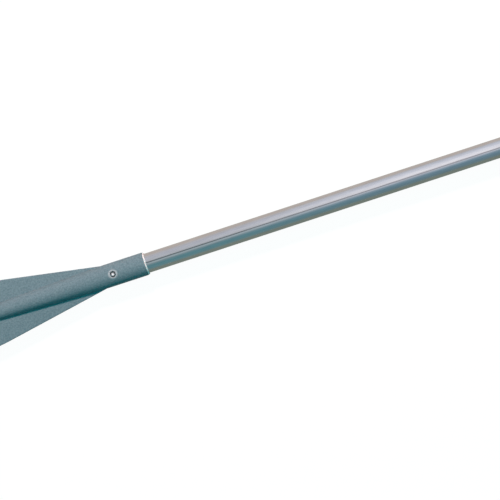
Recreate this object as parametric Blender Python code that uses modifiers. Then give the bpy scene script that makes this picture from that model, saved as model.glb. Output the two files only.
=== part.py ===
"""A take-apart rowing oar: moulded blade, snap-button joint, tube shaft, rowlock collar and grip.

Lengths are in metres. +X runs along the oar from the blade to the grip, and +Z is square to the
blade. The origin is below the middle of the oar, level with the lowest point of the collar.
Places along the oar are measured from the socket's mouth: "reach" runs from the mouth towards the
blade's tip, and "out" runs from the mouth towards the grip.
"""

import math

import bpy
import bmesh
from mathutils import Matrix, Vector

# Clearances
GAP = 0.0003
BUTTON_CLEARANCE = 0.0003
SCREW_CLEARANCE = 0.0003

# Shaft tube
SHAFT_DIAMETER = 0.030
SHAFT_WALL = 0.0015
SHAFT_OUT = 1.020
INSERTION = 0.060

# Blade socket and spine
BLADE_LENGTH = 0.480
SOCKET_WALL = 0.0025
SOCKET_STRAIGHT = 0.062
SPINE_END = 0.455
SPINE_END_RADIUS = 0.0057
SPINE_WALL = 0.0045
HOLLOW_END = 0.330
BUTTON_HOLE_DIAMETER = 0.009
BUTTON_REACH = 0.050

# Blade wings: half widths at the root, the shoulder and the tip
WING_THICKNESS = 0.004
WING_EDGE_RADIUS = 0.0012
WING_ROOT_REACH = 0.050
WING_ROOT_HALF = 0.0148
SHOULDER_REACH = 0.252
SHOULDER_HALF = 0.0513
SHOULDER_ROUND = 0.350
TIP_HALF = 0.0592
TIP_CORNER_ROUND = 0.026
TIP_BULGE = 0.008

# Raised bead outline on each wing
BEAD_RADIUS = 0.0028
BEAD_REACH = 0.252
BEAD_LENGTH = 0.178
BEAD_INNER_HALF = 0.033
BEAD_INNER_TIP_HALF = 0.042
BEAD_WIDTH = 0.0105
BEAD_CORNER_ROUND = 0.004

# Socket liner
LINER_WALL = 0.001
LINER_LENGTH = 0.020
LINER_FLANGE = 0.002
LINER_FLANGE_LIP = 0.001

# Plug in the shaft's lower end
PLUG_LENGTH = 0.026
PLUG_FLANGE = 0.002
PLUG_FLANGE_INSET = 0.0004
PLUG_NOTCHES = 12
PLUG_NOTCH_WIDTH = 0.003
PLUG_NOTCH_DEPTH = 0.0016
PLUG_RECESS_RADIUS = 0.0095
PLUG_RECESS_DEPTH = 0.003

# Snap button and its spring
BUTTON_DIAMETER = 0.0076
BUTTON_PROUD = 0.0006
BUTTON_ROUND = 0.0012
BUTTON_FLANGE_LIP = 0.0011
BUTTON_FLANGE = 0.0015
BUTTON_STEM_RADIUS = 0.0020
BUTTON_STEM = 0.0060
BUTTON_TRAVEL = 0.0036
POCKET_FLOOR = 0.008
SPRING_WIRE = 0.0007
SPRING_TURNS = 7

# Foam bungs in the tube
BUNG_LENGTH = 0.060

# Grip
GRIP_LENGTH = 0.125
GRIP_WALL = 0.0022
GRIP_RIB_HEIGHT = 0.0009
GRIP_RIBS = 10
GRIP_GUARD_HEIGHT = 0.0035
GRIP_GUARD_LENGTH = 0.008
CAP_LENGTH = 0.006
CAP_ROUND = 0.0025
CAP_SPIGOT = 0.022

# Rowlock collar
COLLAR_OUT = 0.650
COLLAR_SLEEVE_LENGTH = 0.065
COLLAR_SLEEVE_WALL = 0.0028
COLLAR_FLANGE_RADIUS = 0.029
COLLAR_FLANGE = 0.009
COLLAR_FLANGE_ROUND = 0.002
COLLAR_CLAMP_LENGTH = 0.018
COLLAR_CLAMP_WALL = 0.005
COLLAR_SLIT = 0.003
LUG_WIDTH = 0.008
LUG_LENGTH = 0.014
LUG_TOP = 0.027

# Clamp screw, washer and nut
SCREW_RADIUS = 0.0025
SCREW_HEAD_RADIUS = 0.0043
SCREW_HEAD = 0.003
SCREW_SLOT_WIDTH = 0.0011
SCREW_SLOT_DEPTH = 0.0014
SCREW_PAST_NUT = 0.002
WASHER_RADIUS = 0.005
WASHER_THICKNESS = 0.001
NUT_FLATS = 0.008
NUT_THICKNESS = 0.004

# Sides of the round pieces
SHAFT_SEGMENTS = 48
GRIP_SEGMENTS = 32
SMALL_SEGMENTS = 24
SPRING_STEPS_A_TURN = 12

# Sizes that follow from the ones above
SHAFT_RADIUS = SHAFT_DIAMETER / 2
TUBE_BORE = SHAFT_RADIUS - SHAFT_WALL
SOCKET_BORE = SHAFT_RADIUS + GAP
SOCKET_RADIUS = SOCKET_BORE + SOCKET_WALL
OVERALL_LENGTH = BLADE_LENGTH + SHAFT_OUT
AXIS_HEIGHT = COLLAR_FLANGE_RADIUS
MOUTH_X = BLADE_LENGTH - OVERALL_LENGTH / 2
GRIP_END_X = MOUTH_X + SHAFT_OUT
TUBE_START_X = MOUTH_X - INSERTION + PLUG_FLANGE + GAP
TUBE_END_X = GRIP_END_X - CAP_LENGTH - GAP
BUTTON_X = MOUTH_X - BUTTON_REACH
PLUG_SPIGOT_RADIUS = TUBE_BORE - GAP
BUTTON_RADIUS = BUTTON_DIAMETER / 2
BUTTON_TOP = SOCKET_RADIUS + BUTTON_PROUD
BUTTON_FLANGE_RADIUS = BUTTON_RADIUS + BUTTON_FLANGE_LIP
BUTTON_FLANGE_TOP = math.sqrt(TUBE_BORE**2 - BUTTON_FLANGE_RADIUS**2) - GAP
POCKET_RADIUS = BUTTON_FLANGE_RADIUS + GAP
COLLAR_BORE = SHAFT_RADIUS + GAP
COLLAR_FACE_X = MOUTH_X + COLLAR_OUT
LUG_MID_X = COLLAR_FACE_X + COLLAR_FLANGE + COLLAR_CLAMP_LENGTH - LUG_LENGTH / 2
LUG_SIDE = COLLAR_SLIT / 2 + LUG_WIDTH
SCREW_LIFT = (LUG_TOP + COLLAR_BORE + COLLAR_CLAMP_WALL) / 2

# Colour, roughness and metallic value of each material
MATERIALS = {
    "blade_plastic": ((0.18, 0.26, 0.29), 0.45, 0.0),
    "white_nylon": ((0.86, 0.87, 0.86), 0.40, 0.0),
    "anodised_tube": ((0.72, 0.72, 0.75), 0.32, 1.0),
    "dark_plastic": ((0.03, 0.035, 0.045), 0.50, 0.0),
    "nickel_button": ((0.75, 0.78, 0.80), 0.18, 1.0),
    "spring_steel": ((0.50, 0.50, 0.50), 0.30, 1.0),
    "grey_foam": ((0.20, 0.20, 0.21), 0.90, 0.0),
    "grip_rubber": ((0.05, 0.055, 0.06), 0.65, 0.0),
    "stainless_steel": ((0.62, 0.62, 0.61), 0.25, 1.0),
}


def clear_scene():
    for item in list(bpy.data.objects):
        bpy.data.objects.remove(item, do_unlink=True)


def new_collection(name):
    collection = bpy.data.collections.new(name)
    bpy.context.scene.collection.children.link(collection)
    return collection


def material(name):
    if name in bpy.data.materials:
        return bpy.data.materials[name]
    colour, roughness, metallic = MATERIALS[name]
    made = bpy.data.materials.new(name)
    made.use_nodes = True
    shader = made.node_tree.nodes["Principled BSDF"]
    shader.inputs["Base Color"].default_value = (*colour, 1.0)
    shader.inputs["Roughness"].default_value = roughness
    shader.inputs["Metallic"].default_value = metallic
    return made


def add_object(name, data, collection, location=(0, 0, 0), rotation=(0, 0, 0)):
    made = bpy.data.objects.new(name, data)
    made.location = location
    made.rotation_euler = rotation
    collection.objects.link(made)
    return made


def on_axis(x):
    """The point of the oar's axis at x."""
    return (x, 0, AXIS_HEIGHT)


def turned(name, profile, collection, closed=False, location=(0, 0, 0), rotation=(0, 0, 0),
           segments=SHAFT_SEGMENTS):
    """A profile of (radius, height) points, top to bottom on its outer side, turned about local Z."""
    shape = bmesh.new()
    points = [shape.verts.new((radius, 0, height)) for radius, height in profile]
    for first, second in zip(points, points[1:]):
        shape.edges.new((first, second))
    if closed:
        shape.edges.new((points[-1], points[0]))
    data = bpy.data.meshes.new(name)
    shape.to_mesh(data)
    shape.free()
    made = add_object(name, data, collection, location, rotation)
    screw = made.modifiers.new("turn", "SCREW")
    screw.steps = segments
    screw.render_steps = segments
    screw.use_merge_vertices = True
    screw.merge_threshold = 0.00001
    return made


def turned_along(name, profile, collection, closed=False, segments=SHAFT_SEGMENTS):
    """A profile of (radius, x) points, from the largest x down on its outer side, about the axis."""
    return turned(name, profile, collection, closed, on_axis(0), (0, math.pi / 2, 0), segments)


def ring_profile(inner, outer, low, high):
    """The closed profile of a plain ring."""
    return [(outer, high), (outer, low), (inner, low), (inner, high)]


def disc_profile(radius, low, high):
    """The open profile of a plain disc."""
    return [(0, high), (radius, high), (radius, low), (0, low)]


def box(name, size, centre, collection):
    shape = bmesh.new()
    bmesh.ops.create_cube(shape, size=1.0, matrix=Matrix.Diagonal((*size, 1.0)))
    data = bpy.data.meshes.new(name)
    shape.to_mesh(data)
    shape.free()
    return add_object(name, data, collection, centre)


def cylinder(name, radius, length, centre, rotation, collection, segments=SMALL_SEGMENTS):
    shape = bmesh.new()
    bmesh.ops.create_cone(
        shape, cap_ends=True, segments=segments, radius1=radius, radius2=radius, depth=length
    )
    data = bpy.data.meshes.new(name)
    shape.to_mesh(data)
    shape.free()
    return add_object(name, data, collection, centre, rotation)


def boolean(target, other, operation):
    step = target.modifiers.new(operation.lower() + "_" + other.name, "BOOLEAN")
    step.operation = operation
    step.object = other
    step.solver = "EXACT"


def hide_guide(guide):
    guide.hide_render = True
    guide.display_type = "WIRE"


def mesh_of_curve(guide):
    """The curve object as a closed mesh object of the same name and place."""
    bpy.context.view_layer.update()
    graph = bpy.context.evaluated_depsgraph_get()
    data = bpy.data.meshes.new_from_object(guide.evaluated_get(graph))
    shape = bmesh.new()
    shape.from_mesh(data)
    bmesh.ops.remove_doubles(shape, verts=shape.verts, dist=0.000001)
    shape.to_mesh(data)
    shape.free()
    name = guide.name
    collection = guide.users_collection[0]
    place = guide.matrix_world.copy()
    bpy.data.objects.remove(guide, do_unlink=True)
    made = bpy.data.objects.new(name, data)
    made.matrix_world = place
    collection.objects.link(made)
    return made


def finish(piece, material_name):
    """Turns the modifiers into the mesh that they make, and shades it smooth up to its edges."""
    bpy.context.view_layer.update()
    graph = bpy.context.evaluated_depsgraph_get()
    data = bpy.data.meshes.new_from_object(piece.evaluated_get(graph))
    data.name = piece.name
    piece.modifiers.clear()
    piece.data = data
    data.materials.clear()
    data.materials.append(material(material_name))
    data.shade_smooth()
    data.set_sharp_from_angle(angle=math.radians(30))
    return piece


def rounded_corner(before, corner, after, radius, steps):
    """Points of the arc that rounds a corner between two straight sides."""
    to_before = (before - corner).normalized()
    to_after = (after - corner).normalized()
    half = to_before.angle(to_after) / 2
    tangent = radius / math.tan(half)
    centre = corner + (to_before + to_after).normalized() * (radius / math.sin(half))
    start = (corner + to_before * tangent - centre).normalized()
    end = (corner + to_after * tangent - centre).normalized()
    return [centre + start.slerp(end, step / steps) * radius for step in range(steps + 1)]


def rounded_loop(corners, radii, steps):
    """A closed loop of points with each corner rounded."""
    points = []
    for index, corner in enumerate(corners):
        before = corners[index - 1]
        after = corners[(index + 1) % len(corners)]
        points += rounded_corner(before, corner, after, radii[index], steps)
    return points


def flat_outline(name, points, thickness, collection):
    """A plate with the given outline, centred on the oar's axis height."""
    data = bpy.data.curves.new(name, "CURVE")
    data.dimensions = "2D"
    data.fill_mode = "BOTH"
    data.extrude = thickness / 2
    line = data.splines.new("POLY")
    line.points.add(len(points) - 1)
    for target, point in zip(line.points, points):
        target.co = (point.x, point.y, 0, 1)
    line.use_cyclic_u = True
    return mesh_of_curve(add_object(name, data, collection, on_axis(0)))


def tube_along(name, points, radius, collection, cyclic=False, bevel_resolution=2):
    """A round tube through the given points."""
    data = bpy.data.curves.new(name, "CURVE")
    data.dimensions = "3D"
    data.bevel_depth = radius
    data.bevel_resolution = bevel_resolution
    data.use_fill_caps = not cyclic
    line = data.splines.new("POLY")
    line.points.add(len(points) - 1)
    for target, point in zip(line.points, points):
        target.co = (*point, 1)
    line.use_cyclic_u = cyclic
    return mesh_of_curve(add_object(name, data, collection))


def spine_radius(reach):
    """The spine narrows evenly from the end of the round socket to its tip."""
    share = (reach - SOCKET_STRAIGHT) / (SPINE_END - SOCKET_STRAIGHT)
    return SOCKET_RADIUS + (SPINE_END_RADIUS - SOCKET_RADIUS) * share


def wing_outline():
    """Both wings as one outline, with a bowed tip edge."""
    tip_reach = BLADE_LENGTH - TIP_BULGE
    side = [
        Vector((MOUTH_X - WING_ROOT_REACH, WING_ROOT_HALF)),
        Vector((MOUTH_X - SHOULDER_REACH, SHOULDER_HALF)),
        Vector((MOUTH_X - tip_reach, TIP_HALF)),
    ]
    other_side = [Vector((point.x, -point.y)) for point in side]
    tip_arc = TIP_HALF - TIP_CORNER_ROUND
    bow = [
        Vector((MOUTH_X - BLADE_LENGTH + TIP_BULGE * (across / TIP_HALF) ** 2, across))
        for across in (tip_arc * (1 - step / 8) for step in range(17))
    ]
    points = [side[0]]
    points += rounded_corner(side[0], side[1], side[2], SHOULDER_ROUND, 8)
    points += rounded_corner(side[1], side[2], bow[0], TIP_CORNER_ROUND, 8)
    points += bow
    points += rounded_corner(bow[-1], other_side[2], other_side[1], TIP_CORNER_ROUND, 8)
    points += rounded_corner(other_side[2], other_side[1], other_side[0], SHOULDER_ROUND, 8)
    points.append(other_side[0])
    return points


def bead_loop(side):
    """The bead outline's centre line on one wing."""
    near_x = MOUTH_X - BEAD_REACH
    far_x = near_x - BEAD_LENGTH
    corners = [
        Vector((near_x, side * BEAD_INNER_HALF, AXIS_HEIGHT)),
        Vector((near_x, side * (BEAD_INNER_HALF + BEAD_WIDTH), AXIS_HEIGHT)),
        Vector((far_x, side * (BEAD_INNER_TIP_HALF + BEAD_WIDTH), AXIS_HEIGHT)),
        Vector((far_x, side * BEAD_INNER_TIP_HALF, AXIS_HEIGHT)),
    ]
    return rounded_loop(corners, [BEAD_CORNER_ROUND] * 4, 4)


def build_blade(parts, cutters):
    spine_tip = SPINE_END + SPINE_END_RADIUS
    profile = [
        (0, MOUTH_X),
        (SOCKET_RADIUS, MOUTH_X),
        (SOCKET_RADIUS, MOUTH_X - SOCKET_STRAIGHT),
        (SPINE_END_RADIUS, MOUTH_X - SPINE_END),
        (SPINE_END_RADIUS * 0.71, MOUTH_X - SPINE_END - SPINE_END_RADIUS * 0.71),
        (0, MOUTH_X - spine_tip),
    ]
    blade = turned_along("blade", profile, parts)
    wings = flat_outline("wing_plate", wing_outline(), WING_THICKNESS, cutters)
    edge = wings.modifiers.new("rounded_edge", "BEVEL")
    edge.width = WING_EDGE_RADIUS
    edge.segments = 2
    edge.limit_method = "ANGLE"
    edge.angle_limit = math.radians(60)
    hide_guide(wings)
    boolean(blade, wings, "UNION")
    for side, label in ((1, "left"), (-1, "right")):
        bead = tube_along("bead_" + label, bead_loop(side), BEAD_RADIUS, cutters, cyclic=True)
        hide_guide(bead)
        boolean(blade, bead, "UNION")
    bore = turned_along("socket_bore", socket_hollow(), cutters)
    button_hole = cylinder(
        "button_hole",
        BUTTON_HOLE_DIAMETER / 2,
        SOCKET_RADIUS,
        (BUTTON_X, 0, AXIS_HEIGHT + SOCKET_RADIUS),
        (0, 0, 0),
        cutters,
    )
    for cutter in (bore, button_hole):
        hide_guide(cutter)
        boolean(blade, cutter, "DIFFERENCE")
    return finish(blade, "blade_plastic")


def socket_hollow():
    """Counterbore for the liner, bore for the shaft, and the tapering hollow in the spine."""
    past_mouth = MOUTH_X + LINER_FLANGE
    liner_end = MOUTH_X - LINER_LENGTH - GAP
    bore_end = MOUTH_X - INSERTION - GAP
    counterbore = SOCKET_BORE + LINER_WALL + GAP
    return [
        (0, past_mouth),
        (counterbore, past_mouth),
        (counterbore, liner_end),
        (SOCKET_BORE, liner_end),
        (SOCKET_BORE, bore_end),
        (spine_radius(SOCKET_STRAIGHT) - SPINE_WALL, bore_end),
        (spine_radius(HOLLOW_END) - SPINE_WALL, MOUTH_X - HOLLOW_END),
        (0, MOUTH_X - HOLLOW_END),
    ]


def build_socket_liner(parts):
    flange_low = MOUTH_X + GAP
    flange_high = flange_low + LINER_FLANGE
    sleeve_radius = SOCKET_BORE + LINER_WALL
    profile = [
        (sleeve_radius + LINER_FLANGE_LIP, flange_high),
        (sleeve_radius + LINER_FLANGE_LIP, flange_low),
        (sleeve_radius, flange_low),
        (sleeve_radius, MOUTH_X - LINER_LENGTH),
        (SOCKET_BORE, MOUTH_X - LINER_LENGTH),
        (SOCKET_BORE, flange_high),
    ]
    return finish(turned_along("socket_liner", profile, parts, closed=True), "white_nylon")


def build_shaft_tube(parts, cutters):
    profile = ring_profile(TUBE_BORE, SHAFT_RADIUS, TUBE_START_X, TUBE_END_X)
    tube = turned_along("shaft_tube", profile, parts, closed=True)
    hole = cylinder(
        "tube_button_hole",
        BUTTON_RADIUS + BUTTON_CLEARANCE,
        SHAFT_RADIUS,
        (BUTTON_X, 0, AXIS_HEIGHT + SHAFT_RADIUS),
        (0, 0, 0),
        cutters,
    )
    hide_guide(hole)
    boolean(tube, hole, "DIFFERENCE")
    return finish(tube, "anodised_tube")


def build_shaft_plug(parts, cutters):
    flange_radius = SHAFT_RADIUS - PLUG_FLANGE_INSET
    end = MOUTH_X - INSERTION
    inner_end = end + PLUG_LENGTH
    profile = [
        (0, inner_end),
        (PLUG_SPIGOT_RADIUS, inner_end),
        (PLUG_SPIGOT_RADIUS, end + PLUG_FLANGE),
        (flange_radius, end + PLUG_FLANGE),
        (flange_radius, end),
        (PLUG_RECESS_RADIUS, end),
        (PLUG_RECESS_RADIUS, end + PLUG_RECESS_DEPTH),
        (0, end + PLUG_RECESS_DEPTH),
    ]
    plug = turned_along("shaft_plug", profile, parts)
    pocket_depth = POCKET_FLOOR + SHAFT_RADIUS
    pocket = cylinder(
        "button_pocket",
        POCKET_RADIUS,
        pocket_depth,
        (BUTTON_X, 0, AXIS_HEIGHT - POCKET_FLOOR + pocket_depth / 2),
        (0, 0, 0),
        cutters,
    )
    hide_guide(pocket)
    boolean(plug, pocket, "DIFFERENCE")
    for number in range(PLUG_NOTCHES):
        angle = 2 * math.pi * (number + 0.5) / PLUG_NOTCHES
        across = flange_radius * math.sin(angle)
        lift = flange_radius * math.cos(angle)
        notch = box(
            f"plug_notch_{number + 1}",
            (PLUG_FLANGE * 1.5, PLUG_NOTCH_WIDTH, PLUG_NOTCH_DEPTH * 2),
            (end, across, AXIS_HEIGHT + lift),
            cutters,
        )
        notch.rotation_euler = (-angle, 0, 0)
        hide_guide(notch)
        boolean(plug, notch, "DIFFERENCE")
    return finish(plug, "dark_plastic")


def build_snap_button(parts):
    """Turned about its own line of travel, with its origin on the oar's axis."""
    flange_low = BUTTON_FLANGE_TOP - BUTTON_FLANGE
    dome = [
        (
            BUTTON_RADIUS - BUTTON_ROUND + BUTTON_ROUND * math.sin(math.radians(angle)),
            BUTTON_TOP - BUTTON_ROUND + BUTTON_ROUND * math.cos(math.radians(angle)),
        )
        for angle in (0, 22.5, 45, 67.5, 90)
    ]
    profile = [(0, BUTTON_TOP), *dome]
    profile += [
        (BUTTON_RADIUS, BUTTON_FLANGE_TOP),
        (BUTTON_FLANGE_RADIUS, BUTTON_FLANGE_TOP),
        (BUTTON_FLANGE_RADIUS, flange_low),
        (BUTTON_STEM_RADIUS, flange_low),
        (BUTTON_STEM_RADIUS, flange_low - BUTTON_STEM),
        (0, flange_low - BUTTON_STEM),
    ]
    button = turned(
        "snap_button", profile, parts, location=on_axis(BUTTON_X), segments=SMALL_SEGMENTS
    )
    return finish(button, "nickel_button")


def build_button_spring(parts):
    """A coil that stands on the pocket's floor and bears on the button's flange."""
    wire = SPRING_WIRE / 2
    radius = POCKET_RADIUS - GAP - wire
    low = -POCKET_FLOOR + GAP + wire
    high = BUTTON_FLANGE_TOP - BUTTON_FLANGE - GAP - wire
    steps = SPRING_TURNS * SPRING_STEPS_A_TURN
    points = []
    for step in range(steps + 1):
        angle = 2 * math.pi * step / SPRING_STEPS_A_TURN
        height = low + (high - low) * step / steps
        points.append(
            Vector(
                (
                    BUTTON_X + radius * math.cos(angle),
                    radius * math.sin(angle),
                    AXIS_HEIGHT + height,
                )
            )
        )
    spring = tube_along("button_spring", points, wire, parts, bevel_resolution=1)
    return finish(spring, "spring_steel")


def build_bungs(parts):
    lower_start = MOUTH_X - INSERTION + PLUG_LENGTH + GAP
    upper_end = TUBE_END_X - CAP_SPIGOT
    spans = {
        "lower_bung": (lower_start, lower_start + BUNG_LENGTH),
        "upper_bung": (upper_end - BUNG_LENGTH, upper_end),
    }
    for name, (low, high) in spans.items():
        bung = turned_along(name, disc_profile(TUBE_BORE - GAP, low, high), parts)
        finish(bung, "grey_foam")


def grip_radius():
    return SHAFT_RADIUS + GAP + GRIP_WALL


def build_grip_sleeve(parts):
    """A soft sleeve with rounded ribs and a raised guard at its inner end."""
    high = TUBE_END_X
    low = high - GRIP_LENGTH
    base = grip_radius()
    guard = base + GRIP_GUARD_HEIGHT
    ribs_low = low + GRIP_GUARD_LENGTH * 1.5
    pitch = (high - GRIP_GUARD_LENGTH / 2 - ribs_low) / GRIP_RIBS
    profile = [(base, high)]
    for number in range(GRIP_RIBS, 0, -1):
        middle = ribs_low + pitch * (number - 0.5)
        profile += [
            (base, middle + pitch * 0.36),
            (base + GRIP_RIB_HEIGHT, middle + pitch * 0.18),
            (base + GRIP_RIB_HEIGHT, middle - pitch * 0.18),
            (base, middle - pitch * 0.36),
        ]
    profile += [
        (base, low + GRIP_GUARD_LENGTH),
        (guard, low + GRIP_GUARD_LENGTH * 0.7),
        (guard, low + GRIP_GUARD_LENGTH * 0.3),
        (base, low),
        (SHAFT_RADIUS + GAP, low),
        (SHAFT_RADIUS + GAP, high),
    ]
    sleeve = turned_along("grip_sleeve", profile, parts, closed=True, segments=GRIP_SEGMENTS)
    return finish(sleeve, "grip_rubber")


def build_grip_cap(parts):
    head_low = GRIP_END_X - CAP_LENGTH
    radius = grip_radius() + GRIP_RIB_HEIGHT
    turn = [
        (
            radius - CAP_ROUND + CAP_ROUND * math.sin(math.radians(angle)),
            GRIP_END_X - CAP_ROUND + CAP_ROUND * math.cos(math.radians(angle)),
        )
        for angle in (0, 22.5, 45, 67.5, 90)
    ]
    profile = [(0, GRIP_END_X), *turn]
    profile += [
        (radius, head_low),
        (TUBE_BORE - GAP, head_low),
        (TUBE_BORE - GAP, TUBE_END_X - CAP_SPIGOT + GAP),
        (0, TUBE_END_X - CAP_SPIGOT + GAP),
    ]
    cap = turned_along("grip_cap", profile, parts, segments=GRIP_SEGMENTS)
    return finish(cap, "dark_plastic")


def build_rowlock_collar(parts, cutters):
    """A sleeve for the rowlock, a thrust flange and a slit clamp with two lugs."""
    sleeve_low = COLLAR_FACE_X - COLLAR_SLEEVE_LENGTH
    flange_high = COLLAR_FACE_X + COLLAR_FLANGE
    clamp_high = flange_high + COLLAR_CLAMP_LENGTH
    sleeve = COLLAR_BORE + COLLAR_SLEEVE_WALL
    clamp = COLLAR_BORE + COLLAR_CLAMP_WALL
    rim = COLLAR_FLANGE_RADIUS
    turn = COLLAR_FLANGE_ROUND
    profile = [
        (clamp, clamp_high),
        (clamp, flange_high),
        (rim - turn, flange_high),
        (rim, flange_high - turn),
        (rim, COLLAR_FACE_X + turn),
        (rim - turn, COLLAR_FACE_X),
        (sleeve, COLLAR_FACE_X),
        (sleeve, sleeve_low),
        (COLLAR_BORE, sleeve_low),
        (COLLAR_BORE, clamp_high),
    ]
    collar = turned_along("rowlock_collar", profile, parts, closed=True)
    lug_low = COLLAR_BORE + COLLAR_CLAMP_WALL / 2
    lugs = box(
        "clamp_lugs",
        (LUG_LENGTH, LUG_SIDE * 2, LUG_TOP - lug_low),
        (LUG_MID_X, 0, AXIS_HEIGHT + (LUG_TOP + lug_low) / 2),
        cutters,
    )
    sleeve_to_clamp = clamp_high - sleeve_low
    slit = box(
        "clamp_slit",
        (sleeve_to_clamp * 1.1, COLLAR_SLIT, COLLAR_FLANGE_RADIUS),
        ((sleeve_low + clamp_high) / 2, 0, AXIS_HEIGHT + COLLAR_FLANGE_RADIUS * 0.75),
        cutters,
    )
    screw_hole = cylinder(
        "screw_hole",
        SCREW_RADIUS + SCREW_CLEARANCE,
        LUG_SIDE * 3,
        (LUG_MID_X, 0, AXIS_HEIGHT + SCREW_LIFT),
        (math.pi / 2, 0, 0),
        cutters,
    )
    for guide in (lugs, slit, screw_hole):
        hide_guide(guide)
    boolean(collar, lugs, "UNION")
    boolean(collar, slit, "DIFFERENCE")
    boolean(collar, screw_hole, "DIFFERENCE")
    return finish(collar, "dark_plastic")


def across_lugs(name, profile, parts, closed=False, segments=SMALL_SEGMENTS):
    """A piece turned about the clamp screw's axis. Heights run along -Y, towards the head."""
    place = (LUG_MID_X, 0, AXIS_HEIGHT + SCREW_LIFT)
    return turned(name, profile, parts, closed, place, (math.pi / 2, 0, 0), segments)


def build_clamp_screw(parts, cutters):
    washer_low = LUG_SIDE + GAP
    washer_high = washer_low + WASHER_THICKNESS
    head_low = washer_high + GAP
    head_high = head_low + SCREW_HEAD
    nut_low = -LUG_SIDE - GAP - NUT_THICKNESS
    shank_low = nut_low - SCREW_PAST_NUT
    bore = SCREW_RADIUS + SCREW_CLEARANCE
    profile = [
        (0, head_high),
        (SCREW_HEAD_RADIUS * 0.8, head_high),
        (SCREW_HEAD_RADIUS, head_high - SCREW_HEAD * 0.35),
        (SCREW_HEAD_RADIUS, head_low),
        (SCREW_RADIUS, head_low),
        (SCREW_RADIUS, shank_low),
        (0, shank_low),
    ]
    screw = across_lugs("collar_screw", profile, parts)
    slot = box(
        "screw_slot",
        (SCREW_HEAD_RADIUS * 3, SCREW_SLOT_DEPTH * 2, SCREW_SLOT_WIDTH),
        (LUG_MID_X, -head_high, AXIS_HEIGHT + SCREW_LIFT),
        cutters,
    )
    hide_guide(slot)
    boolean(screw, slot, "DIFFERENCE")
    finish(screw, "stainless_steel")
    washer_ring = ring_profile(bore, WASHER_RADIUS, washer_low, washer_high)
    washer = across_lugs("collar_washer", washer_ring, parts, closed=True)
    finish(washer, "stainless_steel")
    nut = cylinder(
        "collar_nut",
        NUT_FLATS / math.sqrt(3),
        NUT_THICKNESS,
        (LUG_MID_X, LUG_SIDE + GAP + NUT_THICKNESS / 2, AXIS_HEIGHT + SCREW_LIFT),
        (math.pi / 2, 0, 0),
        parts,
        segments=6,
    )
    thread = cylinder(
        "nut_bore",
        bore,
        NUT_THICKNESS * 2,
        tuple(nut.location),
        (math.pi / 2, 0, 0),
        cutters,
    )
    hide_guide(thread)
    boolean(nut, thread, "DIFFERENCE")
    finish(nut, "stainless_steel")


def main():
    clear_scene()
    parts = new_collection("take_apart_oar")
    cutters = new_collection("cutters")
    build_blade(parts, cutters)
    build_socket_liner(parts)
    build_shaft_tube(parts, cutters)
    build_shaft_plug(parts, cutters)
    build_snap_button(parts)
    build_button_spring(parts)
    build_bungs(parts)
    build_grip_sleeve(parts)
    build_grip_cap(parts)
    build_rowlock_collar(parts, cutters)
    build_clamp_screw(parts, cutters)


main()
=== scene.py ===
import math

import bmesh
import bpy
import numpy as np
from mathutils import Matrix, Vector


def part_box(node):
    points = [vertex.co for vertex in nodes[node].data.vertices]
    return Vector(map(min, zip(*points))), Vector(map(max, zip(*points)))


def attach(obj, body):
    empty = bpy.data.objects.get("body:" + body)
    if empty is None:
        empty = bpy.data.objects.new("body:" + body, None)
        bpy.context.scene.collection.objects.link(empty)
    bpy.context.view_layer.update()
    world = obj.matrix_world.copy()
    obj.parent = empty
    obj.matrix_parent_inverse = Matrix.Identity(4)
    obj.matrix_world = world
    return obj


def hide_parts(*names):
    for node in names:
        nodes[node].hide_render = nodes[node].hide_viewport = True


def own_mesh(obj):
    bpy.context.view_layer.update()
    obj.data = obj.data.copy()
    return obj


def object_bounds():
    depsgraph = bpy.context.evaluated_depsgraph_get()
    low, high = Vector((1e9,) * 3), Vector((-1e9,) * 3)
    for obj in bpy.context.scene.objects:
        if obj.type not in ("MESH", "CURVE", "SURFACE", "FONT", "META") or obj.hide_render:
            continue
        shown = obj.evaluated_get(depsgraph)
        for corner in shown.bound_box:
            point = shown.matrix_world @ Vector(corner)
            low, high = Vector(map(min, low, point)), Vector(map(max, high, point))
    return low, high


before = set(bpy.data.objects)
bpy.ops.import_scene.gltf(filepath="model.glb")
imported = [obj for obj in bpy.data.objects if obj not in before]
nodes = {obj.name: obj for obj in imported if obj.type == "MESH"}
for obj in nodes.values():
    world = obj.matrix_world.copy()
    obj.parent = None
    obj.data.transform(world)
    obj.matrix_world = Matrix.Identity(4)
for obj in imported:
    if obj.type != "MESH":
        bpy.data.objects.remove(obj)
cadBounds = [list(corner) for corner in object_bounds()]
print("frame loaded:", len(nodes), "nodes")

# Places that every piece is measured from. The oar's axis runs along X.
bladeLow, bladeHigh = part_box("blade")
tubeLow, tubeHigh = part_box("shaft_tube")
buttonLow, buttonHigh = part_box("snap_button")
tipX = bladeLow.x
mouthX = bladeHigh.x
axisZ = (tubeLow.z + tubeHigh.z) / 2
tubeRadius = (tubeHigh.z - tubeLow.z) / 2
buttonX = (buttonLow.x + buttonHigh.x) / 2

# Sizes that several pieces share
fit = {
    "gap": 0.0003,  # room between pieces that touch
    "bore": 0.0153,  # radius inside the pieces that go over the tube
    "socketRadius": 0.0178,
    "buttonRadius": 0.0038,
    "cutEdge": 0.0001,  # edge of a block that cuts a slot
}
mergeDistance = 0.000002
leastRadius = 0.00001

alongOar = np.array([1.0, 0.0, 0.0])
acrossOar = np.array([0.0, 1.0, 0.0])
upwards = np.array([0.0, 0.0, 1.0])
axisPoint = np.array([0.0, 0.0, axisZ])
buttonPoint = axisPoint + alongOar * buttonX
onButton = {"centre": buttonPoint, "along": upwards, "across": alongOar}


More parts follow.
